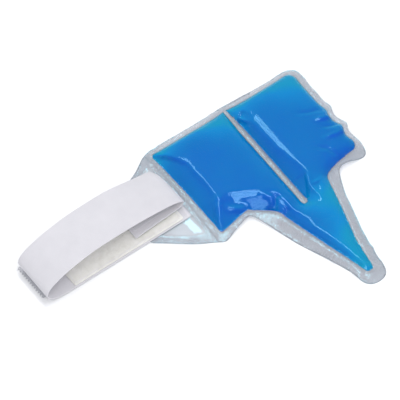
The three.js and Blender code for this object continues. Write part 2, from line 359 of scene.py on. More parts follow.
def resampled(points, step):
    """The same closed line through equally spaced points, about step apart."""
    loop = np.vstack([points, points[:1]])
    lengths = np.linalg.norm(np.diff(loop, axis=0), axis=1)
    at = np.concatenate([[0.0], np.cumsum(lengths)])
    count = max(8, round(at[-1] / step))
    wanted = np.arange(count) * at[-1] / count
    return np.column_stack([np.interp(wanted, at, loop[:, k]) for k in (0, 1)])


def outline(corners, step):
    """A closed plan line through corners (right, down, how far from the corner its curve starts)."""
    places = [np.array(corner[:2], float) for corner in corners]
    rounds = [corner[2] if len(corner) > 2 else 0.0 for corner in corners]
    line = []
    for i, (corner, back) in enumerate(zip(places, rounds)):
        before, after = places[i - 1] - corner, places[(i + 1) % len(places)] - corner
        start = corner + before / np.linalg.norm(before) * back
        end = corner + after / np.linalg.norm(after) * back
        shares = np.linspace(0, 1, 7) if back else [0.0]
        line += [start * (1 - t) ** 2 + corner * 2 * t * (1 - t) + end * t * t for t in shares]
    return resampled(np.array(line), step)


def inside(points, line):
    """Which points are inside a closed line."""
    found = np.zeros(len(points), bool)
    for a, b in zip(line, np.roll(line, -1, axis=0)):
        if a[1] == b[1]:
            continue
        level = (a[1] > points[:, 1]) != (b[1] > points[:, 1])
        crossing = a[0] + (points[:, 1] - a[1]) / (b[1] - a[1]) * (b[0] - a[0])
        found ^= level & (points[:, 0] < crossing)
    return found


def distance(points, line, closed=True):
    """How far points are from a line."""
    nearest = np.full(len(points), np.inf)
    ends = np.roll(line, -1, axis=0)
    for a, b in list(zip(line, ends))[: len(line) if closed else -1]:
        side = b - a
        share = np.clip((points - a) @ side / max(side @ side, 1e-12), 0, 1)
        nearest = np.minimum(nearest, np.linalg.norm(points - a - share[:, None] * side, axis=1))
    return nearest


def triangulated(parts, edge):
    """Plan triangles inside an edge. Each part is points and what they are: a closed line where the second
    value is True, an open line where it is False, and loose points where it is None."""
    points, sides = [], []
    for part, closed in parts:
        first, count = len(points), len(part)
        points += [Vector(p) for p in part]
        if closed is not None:
            sides += [(first + i, first + (i + 1) % count) for i in range(count if closed else count - 1)]
    points, _, faces, *_ = delaunay_2d_cdt(points, sides, [], 0, 1e-5)
    points = np.array([tuple(p) for p in points])
    faces = np.array(faces)
    return points, faces[inside(points[faces].mean(axis=1), edge)]


def facing_up(faces, points):
    """Triangles with the ones that face down turned over."""
    a, b, c = (points[faces[:, k], :2] for k in range(3))
    down = np.cross(b - a, c - a) < 0
    return np.where(down[:, None], faces[:, ::-1], faces)


# ---- the pouch's flat pattern

GEL_CORNERS = (
    (0, 0, 6),
    (GEL_WIDTH + 3, 2.5, 12),
    (GEL_WIDTH + 3, LOBE_LENGTH, 9),
    (149, LOBE_LENGTH + 5),
    (130, 126, 8),
    (108, 204),
    (102, TAIL_TIP, 4),
    (93, TAIL_TIP, 4),
    (79, 194),
    (62, 131, 8),
    (40, LOBE_LENGTH - 3),
    (3, LOBE_LENGTH + 2, 5),
)
POUCH_CORNERS = (
    (10, -6, 6),
    (GEL_WIDTH + 11, -2, 17),
    (GEL_WIDTH + 7, LOBE_LENGTH + 14, 10),
    (145, LOBE_LENGTH + 9, 7),
    (132, 154),
    (113.5, 229),
    (108, TAIL_TIP + 14, 10),
    (87, TAIL_TIP + 14, 11),
    (81, 230),
    (57, 170),
    (46, 136),
    (39, LOBE_LENGTH + 2, 5),
    (3, LOBE_LENGTH + 11, 3),
)
TAB_CORNERS = ((-27, 107), (TAB_END, 81, 5), (TAB_END, 23, 5), (-19, 5, 6), (-6, -5, 6))
TAB_BORDER = ((-7, 8, 6), (-7, 109, 7), (-27, 97, 8), (-53, 76, 5), (-53, 28, 5), (-18, 12, 6))
TAB_TOP, TAB_BOTTOM = -4.6, 121.6  # where the pouch's outline crosses the tab's root

# A filled pouch is narrower than its flat pattern, so the pattern is cut this much wider and longer.
SPARE_WIDTH, SPARE_LENGTH = 1.033, 1.008


def weld_line():
    """The centre weld's edge: narrow at the top, where the film is pinched, and round at its end."""
    radius = WELD_WIDTH / 2
    straight = np.linspace(0, WELD_END - radius, round(WELD_END / CELL))
    reach = radius * np.interp(straight, (0, 12, 32), (0.5, 0.55, 1.0))
    right = list(zip(WELD_MIDDLE + reach, straight))
    turn = [math.pi * k / 4 for k in (1, 2, 3)]
    foot = [(WELD_MIDDLE + radius * math.cos(a), WELD_END - radius + radius * math.sin(a)) for a in turn]
    left = list(zip(WELD_MIDDLE - reach, straight))[::-1]
    return np.array(right + foot + left)


def flat_pattern():
    """The pouch and tab cut flat: plan points, triangles, and which triangles hold gel, rim or tab."""
    chamber = outline(GEL_CORNERS, CELL)
    edge = outline(POUCH_CORNERS + TAB_CORNERS, CELL)
    weld = weld_line()
    root = np.column_stack([np.full(44, TAB_ROOT), np.linspace(TAB_TOP, TAB_BOTTOM, 44)])
    row = CELL * math.sqrt(3) / 2
    grid = np.array(
        [
            (i * CELL + (j % 2) * CELL / 2, j * row)
            for j in range(-4, round((TAIL_TIP + 20) / row))
            for i in range(round(TAB_END / CELL), round((GEL_WIDTH + 12) / CELL))
        ]
    )
    lines = ((edge, True), (chamber, True), (weld, False), (root, False))
    clear = inside(grid, edge)
    for line, closed in lines:
        clear &= distance(grid, line, closed) > 0.6 * CELL
    points, faces = triangulated(((grid[clear], None), *lines), edge)
    middles = points[faces].mean(axis=1)
    filled = inside(middles, chamber) & ~inside(middles, weld)
    used, faces = np.unique(faces, return_inverse=True)
    return points[used], faces.reshape(-1, 3), filled, middles[:, 0] < TAB_ROOT


def two_layers(points, faces, filled):
    """Doubles the filled part of the pattern. Returns (right, -down, up) rows and three groups of triangles:
    the chamber's front and back, which share the seam's points, and the single layer of rim and tab."""
    flat = np.column_stack([points[:, 0], -points[:, 1], np.zeros(len(points))])
    faces = facing_up(faces, flat)
    seam = np.zeros(len(flat), bool)
    seam[faces[~filled].ravel()] = True
    doubled = np.zeros(len(flat), bool)
    doubled[faces[filled].ravel()] = True
    doubled &= ~seam
    copy = np.arange(len(flat))
    copy[doubled] = len(flat) + np.arange(doubled.sum())
    flat = np.vstack([flat, flat[doubled]])
    return flat, faces[filled], copy[faces[filled]][:, ::-1], faces[~filled]


# ---- film and gel simulation


def opposite_corners(faces):
    """Pairs of corners across each shared edge, which resist bending."""
    waiting, pairs = {}, []
    for face in faces.tolist():
        for k in range(3):
            a, b, c = face[k], face[(k + 1) % 3], face[(k + 2) % 3]
            key = (min(a, b), max(a, b))
            if key in waiting:
                pairs.append((waiting[key], c))
            else:
                waiting[key] = c
    return pairs


class Springs:
    """Pairs of points held at a rest length, more weakly when they are pushed together."""

    def __init__(self, pairs, rest, push, pull):
        self.a, self.b = np.unique(np.sort(np.array(pairs), axis=1), axis=0).T
        self.length = np.linalg.norm(rest[self.a] - rest[self.b], axis=1)
        self.push, self.pull = push, pull
        self.count = len(rest)
        ends = np.bincount(self.a, minlength=self.count) + np.bincount(self.b, minlength=self.count)
        self.share = 1.5 / np.maximum(ends, 1)[:, None]

    def relax(self, points):
        side = points[self.b] - points[self.a]
        length = np.linalg.norm(side, axis=1)
        over = length - self.length
        give = np.where(over > 0, self.pull, self.push) * over / np.maximum(length, 1e-9) / 2
        shift = side * give[:, None]
        points += (added_up(self.a, shift, self.count) - added_up(self.b, shift, self.count)) * self.share


def face_areas(faces, points):
    """Each triangle's area, as a row along its normal."""
    corner = points[faces[:, 0]]
    return np.cross(points[faces[:, 1]] - corner, points[faces[:, 2]] - corner) / 2


def volume_inside(faces, points):
    """The volume inside closed triangles, in millilitres."""
    corners = points[faces]
    return np.einsum("ij,ij->i", corners[:, 0], np.cross(corners[:, 1], corners[:, 2])).sum() / 6000


def fill_with_gel(flat, front, back, rim):
    """Fills the flat chamber with gel under its own weight, lying on a floor. The film hardly stretches,
    gives way a little when pushed together, and resists bending. Returns the settled points."""
    steps, sweeps, weight, slowing = 240, 12, 0.007, 0.93
    everything = np.vstack([front, rim, back])
    chamber = np.vstack([front, back])
    sides = np.vstack([everything[:, [0, 1]], everything[:, [1, 2]], everything[:, [2, 0]]])
    film = Springs(sides, flat, push=0.35, pull=1.0)
    across = opposite_corners(np.vstack([front, rim])) + opposite_corners(np.vstack([back, rim]))
    bend = Springs(across, flat, push=0.16, pull=0.0)
    sizes = np.linalg.norm(face_areas(everything, flat), axis=1)
    patch = np.zeros(len(flat))
    for k in range(3):
        patch += np.bincount(everything[:, k], sizes / 3, len(flat))
    points = flat.copy()
    points[:, 2] = 0.6
    sewn = flat[:, 0] < TAB_SEWN
    points[sewn, 2] = TAB_HEIGHT
    bulge = np.zeros(len(flat), bool)
    bulge[front.ravel()] = True
    bulge &= ~np.isin(np.arange(len(flat)), rim)
    points[bulge, 2] += 1.0
    held = points[sewn].copy()
    speed = np.zeros_like(points)
    squeeze = 0.02
    for step in range(steps):
        areas = face_areas(chamber, points)
        push = np.zeros_like(points)
        for k in range(3):
            push += added_up(chamber[:, k], areas / 3, len(points))
        wanted = GEL_VOLUME * min(1.0, (step + 20) / (steps * 0.45))
        short = (wanted - volume_inside(chamber, points)) / GEL_VOLUME
        squeeze = min(max(squeeze + 0.02 * short, -0.2), 0.5)
        pressure = squeeze + 0.3 * short + weight * (points[:, 2].max() - points[:, 2])
        pull = pressure[:, None] * push / patch[:, None]
        pull[:, 2] -= weight * 0.3
        speed = (speed + pull) * slowing
        speed *= np.minimum(1.0, 1.0 / np.maximum(np.linalg.norm(speed, axis=1, keepdims=True), 1e-9))
        moved = points + speed
        for _ in range(sweeps):
            film.relax(moved)
            bend.relax(moved)
            moved[:, 2] = np.maximum(moved[:, 2], 0)
            moved[sewn] = held
        resting = moved[:, 2] < 0.01
        moved[resting, :2] += (points[resting, :2] - moved[resting, :2]) * 0.1
        speed = moved - points
        points = moved
    return points


# ---- facets and creases

# Places in this section are (right, down, up).
CORNER_FOLD = (20, 88, 12.5)  # where the left lobe's two steep sides and its top meet


def facets():
    """Flat slopes that the slack film takes: each is stretched between a lower line and an upper line."""
    left_shoulder = ((2, 2, 0.8), (13, 17, 8), (21, 34, 12), (23, 61, 13), (22, 82, 13), CORNER_FOLD)
    near_shoulder = (CORNER_FOLD, (35, 95, 11), (50, 104, 11), (62, 112, 11), (70, 120, 9))
    tail_valley = ((66, 137, 3), (71.5, 154, 4.6), (79.5, 182, 4.8), (88, 210, 4.2), (93.5, 230, 2.6))
    tail_crest = ((72, 133, 7), (79, 152, 6.9), (87.5, 181, 6.8), (93, 206, 6), (96.5, 228, 4.2))
    weld_shoulder = ((96, 18, 1), (104, 32, 11), (107, 72, 13), (112, 113, 12.5), (98, 136, 1))
    return (
        (((0.3, 2, 0.8), (1, 60, 0.8), (2.5, 117, 0.8)), (*left_shoulder, (3, 117, 0.8))),
        (((3, 118, 0.8), (39, 113.5, 0.8), (50, 121, 0.8), (62, 130, 0.8)), (*near_shoulder, (64, 130, 1))),
        (near_shoulder, ((19, 88, 12.5), (33, 86, 14), (55, 97, 14), (68, 109, 13), (76, 122, 10))),
        (((95, 20, 1), (95, 80, 0.8), (95, 132, 0.8)), weld_shoulder),
        (((99, 18, 6), (104, 32, 11)), ((104, 14, 9), (110, 30, 13.5))),
        (((65, 138, 0.8), (75.5, 180, 0.8), (92, 232, 0.8)), tail_valley),
        (tail_valley, tail_crest),
    )


def nearest_height(points, line):
    """How far points are from a line of (right, down, up) places, and the line's height at the nearest."""
    line = np.array(line, float)
    away = np.full(len(points), np.inf)
    height = np.zeros(len(points))
    for a, b in zip(line, line[1:]):
        side = b[:2] - a[:2]
        share = np.clip((points - a[:2]) @ side / (side @ side), 0, 1)
        gap = np.linalg.norm(points - a[:2] - share[:, None] * side, axis=1)
        closer = gap < away
        away = np.where(closer, gap, away)
        height = np.where(closer, a[2] + (b[2] - a[2]) * share, height)
    return away, height


def flatten_facets(heights, plan):
    """Heights with each facet's points moved onto its slope."""
    heights = heights.copy()
    for lower, upper in facets():
        ring = np.array([p[:2] for p in (*lower, *upper[::-1])], float)
        here = inside(plan, ring)
        below, low = nearest_height(plan[here], lower)
        above, high = nearest_height(plan[here], upper)
        heights[here] = low + (high - low) * (below / np.maximum(below + above, 1e-6)) ** 0.85
    return heights


def creases():
    """Folds that the film keeps from being handled: a plan line, its height and its half width."""
    return (
        (((3, 119), (10, 105), (20, 88)), 1.7, 4.2),
        (((21, 86), (23, 66), (21, 40)), 0.4, 2.2),
        (((24, 99), (31, 104), (40, 109)), 2.2, 2.7),
        (((60, 108), (66, 115), (62, 131)), 2.0, 2.5),
        (((73, 118), (76, 127), (76, 140)), 0.9, 1.8),
        (((71, 136), (77, 152), (86, 181), (92, 206), (97, 234)), 0.9, 2.4),
        (((70, 149), (79.5, 182), (90, 218)), -0.7, 1.5),
        (((112, 113), (106, 128), (107, 145)), 1.3, 1.8),
        (((107, 127), (116, 128), (122, 125)), 0.9, 1.7),
        (((110, 142), (121, 127)), 0.8, 1.7),
        (((170, 62), (156, 58), (146, 52)), -0.8, 2.2),
        (((174, 74), (163, 72), (155, 68)), 1.3, 2.2),
        (((176, 84), (166, 84), (156, 80)), -1.0, 2.0),
        (((176, 94), (165, 95), (150, 92)), 1.1, 2.2),
        (((150, 116), (146, 104), (138, 96)), -0.8, 2.4),
    )


def add_creases(points, normals, plan):
    """Pushes points out along their normals by the height of the creases near them."""
    lift = np.zeros(len(points))
    for line, height, width in creases():
        line = np.array(line, float)
        away = distance(plan, line, closed=False)
        ends = np.minimum(np.linalg.norm(plan - line[0], axis=1), np.linalg.norm(plan - line[-1], axis=1))
        lift += height * np.exp(-((away / width) ** 2)) * np.clip(ends / 7.0 + 0.2, 0, 1)
    return points + normals * lift[:, None]


# ---- pouch pieces


def over_outline(points, flat):
    """Moves the settled pouch so that, apart from small wrinkles, its edges lie where the pattern's were."""
    at = flat[:, :2] / 100
    x, y = at[:, 0], at[:, 1]
    terms = np.column_stack([x**i * y**j for i in range(4) for j in range(4 - i)])
    off = points[:, :2] - flat[:, :2]
    free = np.clip((flat[:, 0] - TAB_SEWN) / (TAB_ROOT - TAB_SEWN), 0, 1)[:, None]
    loose = free[:, 0] > 0.5
    fit = np.linalg.lstsq(terms[loose], off[loose], rcond=None)[0]
    moved = points.copy()
    moved[:, :2] -= terms @ fit * free
    return moved


def subdivided(points, faces):
    """A mesh after one Catmull-Clark subdivision, with each new face's old face."""
    mesh = bpy.data.meshes.new("work")
    mesh.from_pydata([tuple(p) for p in points], [], [tuple(int(i) for i in f) for f in faces])
    origin = mesh.attributes.new("origin", "INT", "FACE")
    origin.data.foreach_set("value", np.arange(len(faces), dtype=np.int32))
    thing = add_object("work", mesh)
    rounder = thing.modifiers.new("round", "SUBSURF")
    rounder.levels = rounder.render_levels = 1
    rounder.boundary_smooth = "PRESERVE_CORNERS"
    shape = thing.evaluated_get(bpy.context.evaluated_depsgraph_get()).to_mesh()
    fine = np.empty(len(shape.vertices) * 3)
    shape.vertices.foreach_get("co", fine)
    parents = np.empty(len(shape.polygons), np.int32)
    shape.attributes["origin"].data.foreach_get("value", parents)
    corners = np.empty(len(shape.loops), np.int32)
    shape.loops.foreach_get("vertex_index", corners)
    bpy.data.objects.remove(thing)
    return fine.reshape(-1, 3), corners.reshape(-1, 4), parents


def vertex_normals(points, faces):
    """Unit normals of a mesh of quads."""
    a, b, c, d = (points[faces[:, k]] for k in range(4))
    diagonals = np.cross(c - a, d - b)
    normals = np.zeros_like(points)
    for k in range(4):
        normals += added_up(faces[:, k], diagonals, len(points))
    return normals / np.maximum(np.linalg.norm(normals, axis=1, keepdims=True), 1e-12)


def neighbour_means(values, faces):
    """The mean of each point's neighbours' values, over the edges of quads."""
    count = len(values)
    total = np.zeros_like(values)
    ties = np.zeros(count)
    for k in range(4):
        a, b = faces[:, k], faces[:, (k + 1) % 4]
        ties += np.bincount(a, minlength=count) + np.bincount(b, minlength=count)
        total += added_up(a, values[b], count) + added_up(b, values[a], count)
    return total / np.maximum(ties, 1)[:, None]


FRONT, RIM, TAB, BACK = range(4)  # the kinds of the pouch's faces
TAIL_START = 122.0
TAIL_SLACK = 0.4  # how much lower the tail lies than gel at rest would, since it is the emptiest part
CURL_START, CURL_MIDDLE, CURL_REACH = 152.0, 78.0, 24.0  # where the right lobe's edge is curled up
LIT_SIDE = (0.3, 0.85, 0.0)  # the side from which light is painted into the gel: gel sides that face it get a lighter, painted colour
# Where the slack pouch holds less gel: right, down, and how far round that place.
THIN_PLACES = ((168, 4, 34), (84, 4, 26), (3, 3, 16), (118, 150, 24), (106, 200, 20), (96, 228, 16))


class Pouch:
    """The settled pouch as quads: two sheets over the gel, and one sheet for rim, weld and tab."""

    def __init__(self):
        plan, faces, filled, is_tab = flat_pattern()
        flat, front, back, rim = two_layers(plan, faces, filled)
        spare = flat * (SPARE_WIDTH, SPARE_LENGTH, 1)
        spare[flat[:, 0] < TAB_ROOT, 0] = flat[flat[:, 0] < TAB_ROOT, 0]
        settled = over_outline(fill_with_gel(spare, front, back, rim), flat)
        flaps = np.where(is_tab[~filled], TAB, RIM)
        kinds = np.concatenate([np.full(len(front), FRONT), flaps, np.full(len(back), BACK)])
        self.points, self.quads, parents = subdivided(settled, np.vstack([front, rim, back]))
        self.points[:, 2] += FILM
        self.kinds = kinds[parents]
        top = np.unique(self.quads[self.kinds == FRONT])
        self.seam = np.intersect1d(top, np.unique(self.quads[self.kinds == BACK]))
        self.crumple_edge()
        self.shape_top(np.setdiff1d(top, self.seam))
        self.mark_welds()

    def crumple_edge(self):
        """Waves in the right lobe's edge, which is curled up from being handled."""
        right, down = self.points[:, 0], -self.points[:, 1]
        rows = np.exp(-(((down - CURL_MIDDLE) / CURL_REACH) ** 4))
        near = np.clip((right - CURL_START) / CURL_REACH, 0, 1) ** 1.5 * rows
        self.points[:, 0] += near * 2.6 * np.sin(down / 4.2)
        self.points[:, 2] += near * (2.2 + 2.2 * np.sin(down / 3.6 + 1))

    def shape_top(self, upper):
        """Facets and creases in the front sheet."""
        sheet = self.quads[self.kinds == FRONT]
        plan = self.points[:, :2] * (1, -1)
        tail = np.clip((plan[upper, 1] - TAIL_START) / 45, 0, 1)
        self.points[upper, 2] *= 1 - TAIL_SLACK * tail
        self.points[upper, 2] = flatten_facets(self.points[upper, 2], plan[upper])
        for _ in range(3):
            mean = neighbour_means(self.points, sheet)
            self.points[upper] += (mean[upper] - self.points[upper]) * 0.5
        normals = vertex_normals(self.points, sheet)
        self.points[upper] = add_creases(self.points[upper], normals[upper], plan[upper])

    def mark_welds(self):
        """How far the two films are welded together: fully in the rim, not at all over the gel, and little
        inside the tab's own border, where they only lie together and are embossed along a line."""
        self.welded = np.zeros(len(self.points))
        self.welded[self.quads_of(RIM).ravel()] = 1.0
        self.root = np.intersect1d(self.quads_of(TAB), self.quads_of(RIM))
        tab = np.setdiff1d(self.quads_of(TAB), self.root)
        plan = self.points[tab, :2] * (1, -1)
        line = outline(TAB_BORDER, 2.0)
        border = distance(plan, line) * np.where(inside(plan, line), -1, 1)
        self.welded[tab] = np.clip(0.65 + border / 3, 0.3, 1)
        self.points[tab, 2] += 0.55 * np.exp(-((border / 1.2) ** 2)) * (plan[:, 0] < -5)
        strip = np.setdiff1d(self.quads_of(RIM), self.seam)
        off = np.abs(self.points[strip, 0] - WELD_MIDDLE) / (WELD_WIDTH / 2)
        between = (off < 1) & (self.points[strip, 1] < 0) & (self.points[strip, 1] > -WELD_END)
        self.points[strip, 2] += np.where(between, 0.9 * (1 - off**2), 0)

    def quads_of(self, *kinds):
        return self.quads[np.isin(self.kinds, kinds)]

    def film(self, name, faces, material, replaced, bend):
        """One film as a closed shell with an outer and an inner sheet and a wall round its edge."""
        used, faces = np.unique(faces, return_inverse=True)
        faces = faces.reshape(-1, 4)
        base = self.points[used]
        normals = vertex_normals(base, faces)
        count = len(base)
        rim = open_sides(faces.tolist())
        walls = [(b + count, a + count, a, b) for a, b in rim]
        rows = np.vstack([base + normals * 0.02, base + normals * FILM])
        piece = add_mesh(name, to_frame(rows), np.vstack([faces + count, faces[:, ::-1], walls]), material)
        put_attribute(piece, "weld", np.tile(self.welded[used], 2))
        # Marks the outer edge, where the material paints a dark outline as painted shade.
        edge = np.zeros(count)
        edge[np.unique(rim)] = 1.0
        edge[np.isin(used, self.root)] = 0.0
        put_attribute(piece, "edge", np.tile(edge, 2))
        # Marks the seam round the gel, where the material paints a pale line as a painted highlight.
        put_attribute(piece, "seam", np.tile(np.isin(used, self.seam).astype(float), 2))
        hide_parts(*replaced)
        bend(piece)

    def gel(self, material, bend):
        """The gel: the chamber's two sheets, moved inwards so that they lie inside the films."""
        used, faces = np.unique(self.quads_of(FRONT, BACK), return_inverse=True)
        faces = faces.reshape(-1, 4)
        skin = self.points[used]
        normals = vertex_normals(skin, faces)
        skin = skin - normals * 0.25
        at_seam = np.isin(used, self.seam)
        skin[at_seam] = (skin[at_seam] + neighbour_means(skin, faces)[at_seam]) / 2
        piece = add_mesh("gel", to_frame(skin), faces, material)
        # Height and THIN_PLACES give the gel's thickness; the LIT_SIDE term paints the sides that face that
        # light lighter, as painted light.
        depth_and_painted_light = 0.45 + 0.25 * skin[:, 2] / 13 - 0.75 * normals @ np.array(LIT_SIDE)
        for right, down, reach in THIN_PLACES:
            away = np.linalg.norm(skin[:, :2] - (right, -down), axis=1)
            depth_and_painted_light -= 0.6 * np.exp(-((away / reach) ** 2))
        put_attribute(piece, "depth_and_painted_light", np.clip(depth_and_painted_light, 0, 1))
        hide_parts("gel_left", "gel_right")
        bend(piece)


def across_fold(piece):
    """Bakes the placement of a piece that lies across the centre weld into its mesh."""
    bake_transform(piece)


def across_root(piece):
    """Bakes the placement of a tab piece, which leaves the pouch at its root, into its mesh."""
    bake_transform(piece)


def build_pouch(film, gel):
    """Both films, the tab's films and the gel."""
    pouch = Pouch()
    tab, turned_tab = pouch.quads_of(TAB), pouch.quads_of(TAB)[:, ::-1]
    front = np.vstack([pouch.quads_of(FRONT), pouch.quads_of(RIM)])
    back = np.vstack([pouch.quads_of(BACK), pouch.quads_of(RIM)[:, ::-1]])
    pouch.film("front_film", front, film, ["front_film_left", "front_film_right"], across_fold)
    pouch.film("back_film", back, film, ["back_film_left", "back_film_right"], across_fold)
    pouch.film("tab_front_film", tab, film, ["front_film_tab"], across_root)
    pouch.film("tab_back_film", turned_tab, film, ["back_film_tab"], across_root)
    pouch.gel(gel, across_fold)


# ---- strap

STRAP_MEET = -100.0  # where the strap's two meshes meet


def smooth_line(points, step):
    """A Catmull-Rom line through (right, up) points: equally spaced points, tangents and lengths so far."""
    p = np.array(points, float)
    p = np.vstack([2 * p[0] - p[1], p, 2 * p[-1] - p[-2]])
    fine = []
    for a, b, c, d in zip(p, p[1:], p[2:], p[3:]):
        bow, twist = 2 * a - 5 * b + 4 * c - d, 3 * b - 3 * c + d - a
        for t in np.linspace(0, 1, 24, endpoint=False):
            fine.append(0.5 * (2 * b + (c - a) * t + bow * t * t + twist * t**3))
    fine = np.array(fine + [p[-2]])
    at = np.concatenate([[0.0], np.cumsum(np.linalg.norm(np.diff(fine, axis=0), axis=1))])
    wanted = np.linspace(0, at[-1], round(at[-1] / step) + 1)
    line = np.column_stack([np.interp(wanted, at, fine[:, k]) for k in (0, 1)])
    tangent = np.gradient(line, axis=0)
    return line, tangent / np.linalg.norm(tangent, axis=1, keepdims=True), wanted


def strap_line():
    """The strap's middle line, from its cut end on the tab, round the left fold and back to its free end."""
    run = height_of("loop_patch", False) - TAPE_GAP - STRAP_THICK / 2
    flap = height_of("strap_end", False) + STRAP_THICK / 2
    left, middle = joint_place("strap_open")
    left += STRAP_THICK / 2
    right, bend_up = joint_place("flap_unfold")
    right -= STRAP_THICK / 2
    return (
        (right + 2.4, run),
        (-60, run),
        (-110, run),
        (-150, run),
        (-164, run + 1),
        (left + 11, run + 3.5),
        (left + 5, middle - 4),
        (left + 3, middle + 1.5),
        (left + 5.5, middle + 7.5),
        (left + 13, middle + 13),
        (left + 26.5, middle + 18.5),
        (left + 45.5, middle + 22.5),
        (-115, middle + 24),
        (-71, 33),
        (-29, 24),
        (-15, 19),
        (right, bend_up + 1.5),
        (right, bend_up - 1.2),
        (right - 4, flap + 0.7),
        (right - 10, flap),
        (-45, flap),
        (-70, flap),
    )


def strap_section():
    """The strap's section: (across, thick) points round a flat band with round edges."""
    thick = STRAP_THICK / 2
    flat = STRAP_WIDTH / 2 - thick
    across = np.linspace(-flat, flat, 46)
    turns = np.linspace(0, math.pi, 7)[1:-1]
    edge = [(flat + thick * math.sin(a), thick * math.cos(a)) for a in turns]
    top = [(x, thick) for x in across]
    under = [(-x, -y) for x, y in top]
    other = [(-x, -y) for x, y in edge]
    return np.array(top + edge + under + other)


def strap_rows(line, tangent, along, turn):
    """The section's points at each place along the strap. Past its left fold the strap drifts sideways and
    arches, and near the right bend its far corner is slack and droops."""
    section = strap_section()
    across = section[:, 0]
    past = np.clip((np.arange(len(line)) - turn + 15) / 30.0, 0, 1)
    past = past * past * (3 - 2 * past)
    near_edge = STRAP_NEAR_EDGE * (1 - past) + (UPPER_NEAR_EDGE + SKEW * (line[:, 0] - line[turn, 0])) * past
    rng = np.random.default_rng(7)
    flap_top = height_of("strap_end", True)
    rows = []
    for i, ((right, up), (dx, dz)) in enumerate(zip(line, tangent)):
        arch = 0.35 * math.sin(along[i] / 23.0) * past[i] * (i > turn)
        thick = section[:, 1] + arch * (across / 25) ** 2 + rng.normal(0, 0.02, len(section))
        heights = up + dx * thick
        slack = np.interp(right, (-75, -18), (0, 1)) * np.interp(across, (-20, 25), (0, 1)) * past[i]
        drooped = flap_top + (heights - flap_top) * (1 - 0.5 * slack**1.3)
        heights = np.where(heights > flap_top, drooped, heights)
        corner = np.interp(across, (10, 25), (0, 1)) * slack
        rights = right - dz * thick - 2.5 * slack**2 - 4.5 * corner**2
        rows.append(np.column_stack([rights, across - near_edge[i] + STRAP_WIDTH / 2, heights]))
    return np.array(rows)


def band(name, rows, along, elastic):
    """One length of the strap as a closed mesh, with its cloth directions in millimetres."""
    count = rows.shape[1]
    starts = np.arange(len(rows) - 1)[:, None] * count
    here = np.arange(count)
    after = (here + 1) % count
    sides = np.stack([starts + here, starts + after, starts + count + after, starts + count + here], axis=-1)
    ends = (tuple(here[::-1]), tuple((len(rows) - 1) * count + here))
    piece = add_mesh(name, to_frame(rows.reshape(-1, 3)), [*sides.reshape(-1, 4), *ends], elastic)
    for side in piece.data.edges:
        side.use_edge_sharp = any(set(side.vertices) <= set(end) for end in ends)
    cloth = np.column_stack([np.tile(strap_section()[:, 0], len(rows)), np.repeat(along, count)])
    index = np.empty(len(piece.data.loops), np.int32)
    piece.data.loops.foreach_get("vertex_index", index)
    layer = piece.data.uv_layers.new(name="cloth")
    layer.data.foreach_set("uv", cloth[index].astype(np.float32).ravel())
    return piece


def build_strap(elastic):
    """The strap as two meshes that meet on its upper run, where nothing bends."""
    line, tangent, along = smooth_line(strap_line(), 1.0)
    turn = int(np.argmin(line[:, 0]))
    rows = strap_rows(line, tangent, along, turn)
    meet = turn + int(np.argmin(np.abs(line[turn:, 0] - STRAP_MEET)))
    halves = (
        ("lower", slice(0, meet + 1), ("strap_base", "strap_top"), "strap_open", 1),
        ("upper", slice(meet, None), ("strap_top", "strap_flap"), "flap_unfold", -1),
    )
    for name, part, bodies, joint, sense in halves:
        piece = band("elastic_strap_" + name, rows[part], along[part], elastic)
        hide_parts(*(["strap_lower"] if name == "lower" else ["strap_upper", "strap_end"]))
        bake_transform(piece)


# ---- tapes


def skew_shift(right):
    """How far the upper run has drifted at a place, in millimetres."""
    return SKEW * (right - joint_place("strap_open")[0])


def tape(name, corners, low, high, material, roughness=0.0, step=1.6, skewed=False):
    """A flat tape cut to an outline, with a lumpy face where roughness is above 0."""
    edge = outline(corners, step)
    lows, highs = edge.min(axis=0), edge.max(axis=0)
    xs = np.arange(lows[0] + step, highs[0], step)
    ys = np.arange(lows[1] + step, highs[1], step)
    grid = np.array([(x, y) for x in xs for y in ys])
    grid = grid[inside(grid, edge)]
    grid = grid[distance(grid, edge) > 0.6 * step]
    points, faces = triangulated(((edge, True), (grid, None)), edge)
    bumps = np.random.default_rng(3).random(len(points)) * roughness
    down = points[:, 1] + (skew_shift(points[:, 0]) if skewed else 0)
    top = np.column_stack([points[:, 0], -down, high - bumps])
    under = np.column_stack([points[:, 0], -down, np.full(len(points), low)])
    count = len(points)
    upward = facing_up(faces, top)
    walls = [(b, a, a + count, b + count) for a, b in open_sides(upward.tolist())]
    everything = [*upward, *(upward[:, ::-1] + count), *walls]
    return add_mesh(name, to_frame(np.vstack([top, under])), everything, material)


def plan_box(node, inset=0.0):
    """The left, right, far and near sides of a CAD node in plan, moved in by inset."""
    low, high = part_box(node)
    left, right = low[0] / MM - ORIGIN_X + inset, high[0] / MM - ORIGIN_X - inset
    return left, right, ORIGIN_Y - high[1] / MM + inset, ORIGIN_Y - low[1] / MM - inset


def rectangle(left, right, far, near, round_by=1.5):
    """The corners of a tape's outline."""
    return ((left, near, round_by), (right, near, round_by), (right, far, round_by), (left, far, round_by))


def joined(shapes):
    """The points and faces of several shapes as one."""
    points, faces, base = [], [], 0
    for shape_points, shape_faces in shapes:
        points.append(shape_points)
        faces += [tuple(i + base for i in f) for f in shape_faces]
        base += len(shape_points)
    return np.vstack(points), faces


